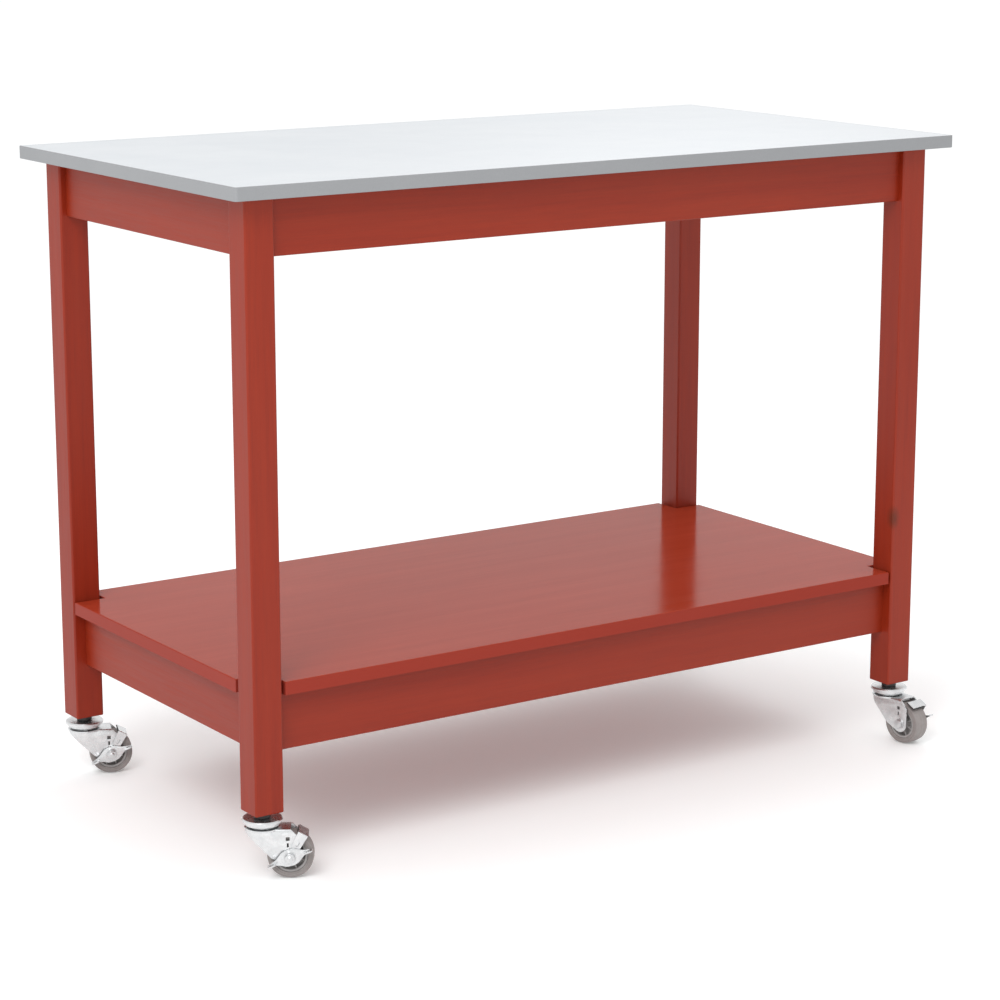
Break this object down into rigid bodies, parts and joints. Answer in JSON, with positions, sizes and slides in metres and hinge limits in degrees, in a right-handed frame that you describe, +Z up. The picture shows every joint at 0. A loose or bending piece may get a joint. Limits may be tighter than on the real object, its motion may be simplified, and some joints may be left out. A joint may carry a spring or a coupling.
{
  "type": "wheeled work table",
  "caption": "Rectangular work table with a pale laminate top on a red wooden frame, a low shelf between the legs, and braked swivel casters.",
  "frame": {"origin": "on the floor under the centre of the worktop", "axes": "+Z up, +X along the table's length, -Y towards the front long side"},
  "size_m": [1.2, 0.6678, 0.924],
  "materials": {
    "board_core": "raw particle board",
    "worktop_laminate": "pale grey satin laminate",
    "backing": "plain balancing laminate",
    "edge_band": "grey satin edge band",
    "red_shelf": "red glazed board, satin lacquer",
    "red_wood": "red glazed solid wood, satin lacquer",
    "zinc": "bright zinc plate on pressed steel",
    "steel": "zinc-plated turned steel",
    "hub_plastic": "moulded grey plastic",
    "grey_rubber": "grey non-marking rubber",
    "black_plastic": "moulded black",
    "black_rubber": "black rubber"
  },
  "bodies": {
    "root": {"worktop_core": "board_core", "worktop_laminate": "worktop_laminate", "worktop_backing": "backing", "worktop_edge_band": "edge_band", "shelf_board": "red_shelf", "leg_front_left": "red_wood", "leg_front_right": "red_wood", "leg_rear_left": "red_wood", "leg_rear_right": "red_wood", "apron_front": "red_wood", "apron_rear": "red_wood", "apron_left": "red_wood", "apron_right": "red_wood", "rail_front": "red_wood", "rail_rear": "red_wood", "rail_left": "red_wood", "rail_right": "red_wood", "worktop_brackets": "zinc", "shelf_brackets": "zinc", "bracket_screws": "zinc", "caster_stems": "steel", "stem_collars": "black_plastic", "swivel_balls": "steel", "caster_plate_front_left": "zinc", "caster_plate_front_right": "zinc", "caster_plate_rear_left": "zinc", "caster_plate_rear_right": "zinc"},
    "swivel_front_left": {"fork_front_left": "zinc", "axle_fasteners_front_left": "steel", "axle_bush_front_left": "steel"},
    "wheel_front_left": {"wheel_hub_front_left": "hub_plastic", "tyre_front_left": "grey_rubber"},
    "brake_lever_front_left": {"brake_lever_front_left": "zinc"},
    "brake_shoe_front_left": {"brake_shoe_front_left": "zinc", "brake_pad_front_left": "black_rubber"},
    "swivel_front_right": {"fork_front_right": "zinc", "axle_fasteners_front_right": "steel", "axle_bush_front_right": "steel"},
    "wheel_front_right": {"wheel_hub_front_right": "hub_plastic", "tyre_front_right": "grey_rubber"},
    "brake_lever_front_right": {"brake_lever_front_right": "zinc"},
    "brake_shoe_front_right": {"brake_shoe_front_right": "zinc", "brake_pad_front_right": "black_rubber"},
    "swivel_rear_left": {"fork_rear_left": "zinc", "axle_fasteners_rear_left": "steel", "axle_bush_rear_left": "steel"},
    "wheel_rear_left": {"wheel_hub_rear_left": "hub_plastic", "tyre_rear_left": "grey_rubber"},
    "brake_lever_rear_left": {"brake_lever_rear_left": "zinc"},
    "brake_shoe_rear_left": {"brake_shoe_rear_left": "zinc", "brake_pad_rear_left": "black_rubber"},
    "swivel_rear_right": {"fork_rear_right": "zinc", "axle_fasteners_rear_right": "steel", "axle_bush_rear_right": "steel"},
    "wheel_rear_right": {"wheel_hub_rear_right": "hub_plastic", "tyre_rear_right": "grey_rubber"},
    "brake_lever_rear_right": {"brake_lever_rear_right": "zinc"},
    "brake_shoe_rear_right": {"brake_shoe_rear_right": "zinc", "brake_pad_rear_right": "black_rubber"}
  },
  "joints": [
    {"name": "swivel_front_left", "type": "hinge", "parent": "root", "child": "swivel_front_left", "pos_m": [-0.5505, -0.2655, 0.07], "axis": [0, 0, 1], "continuous": true},
    {"name": "wheel_spin_front_left", "type": "hinge", "parent": "swivel_front_left", "child": "wheel_front_left", "pos_m": [-0.51947, -0.28565, 0.0315], "axis": [0.5446, 0.8387, 0], "continuous": true},
    {"name": "brake_lever_front_left", "type": "hinge", "parent": "swivel_front_left", "child": "brake_lever_front_left", "pos_m": [-0.51947, -0.28565, 0.0315], "axis": [0.5446, 0.8387, 0], "range_deg": [0, 24]},
    {"name": "brake_shoe_front_left", "type": "slide", "parent": "swivel_front_left", "child": "brake_shoe_front_left", "axis": [-0.4066, 0.264, -0.8746], "range_m": [0, 0.00195]},
    {"name": "swivel_front_right", "type": "hinge", "parent": "root", "child": "swivel_front_right", "pos_m": [0.5505, -0.2655, 0.07], "axis": [0, 0, 1], "continuous": true},
    {"name": "wheel_spin_front_right", "type": "hinge", "parent": "swivel_front_right", "child": "wheel_front_right", "pos_m": [0.55565, -0.30214, 0.0315], "axis": [0.9903, 0.1392, 0], "continuous": true},
    {"name": "brake_lever_front_right", "type": "hinge", "parent": "swivel_front_right", "child": "brake_lever_front_right", "pos_m": [0.55565, -0.30214, 0.0315], "axis": [0.9903, 0.1392, 0], "range_deg": [0, 24]},
    {"name": "brake_shoe_front_right", "type": "slide", "parent": "swivel_front_right", "child": "brake_shoe_front_right", "axis": [-0.0675, 0.4801, -0.8746], "range_m": [0, 0.00195]},
    {"name": "swivel_rear_left", "type": "hinge", "parent": "root", "child": "swivel_rear_left", "pos_m": [-0.5505, 0.2655, 0.07], "axis": [0, 0, 1], "continuous": true},
    {"name": "wheel_spin_rear_left", "type": "hinge", "parent": "swivel_rear_left", "child": "wheel_rear_left", "pos_m": [-0.51619, 0.25164, 0.0315], "axis": [0.3746, 0.9272, 0], "continuous": true},
    {"name": "brake_lever_rear_left", "type": "hinge", "parent": "swivel_rear_left", "child": "brake_lever_rear_left", "pos_m": [-0.51619, 0.25164, 0.0315], "axis": [0.3746, 0.9272, 0], "range_deg": [0, 24]},
    {"name": "brake_shoe_rear_left", "type": "slide", "parent": "swivel_rear_left", "child": "brake_shoe_rear_left", "axis": [-0.4495, 0.1816, -0.8746], "range_m": [0, 0.00195]},
    {"name": "swivel_rear_right", "type": "hinge", "parent": "root", "child": "swivel_rear_right", "pos_m": [0.5505, 0.2655, 0.07], "axis": [0, 0, 1], "continuous": true},
    {"name": "wheel_spin_rear_right", "type": "hinge", "parent": "swivel_rear_right", "child": "wheel_rear_right", "pos_m": [0.55565, 0.30214, 0.0315], "axis": [-0.9903, 0.1392, 0], "continuous": true},
    {"name": "brake_lever_rear_right", "type": "hinge", "parent": "swivel_rear_right", "child": "brake_lever_rear_right", "pos_m": [0.55565, 0.30214, 0.0315], "axis": [-0.9903, 0.1392, 0], "range_deg": [0, 24]},
    {"name": "brake_shoe_rear_right", "type": "slide", "parent": "swivel_rear_right", "child": "brake_shoe_rear_right", "axis": [-0.0675, -0.4801, -0.8746], "range_m": [0, 0.00195]}
  ],
  "couplings": [
    {"joint": "brake_shoe_front_left", "follows": "brake_lever_front_left", "m_per_rad": 0.004536},
    {"joint": "brake_shoe_front_right", "follows": "brake_lever_front_right", "m_per_rad": 0.004536},
    {"joint": "brake_shoe_rear_left", "follows": "brake_lever_rear_left", "m_per_rad": 0.004536},
    {"joint": "brake_shoe_rear_right", "follows": "brake_lever_rear_right", "m_per_rad": 0.004536}
  ]
}
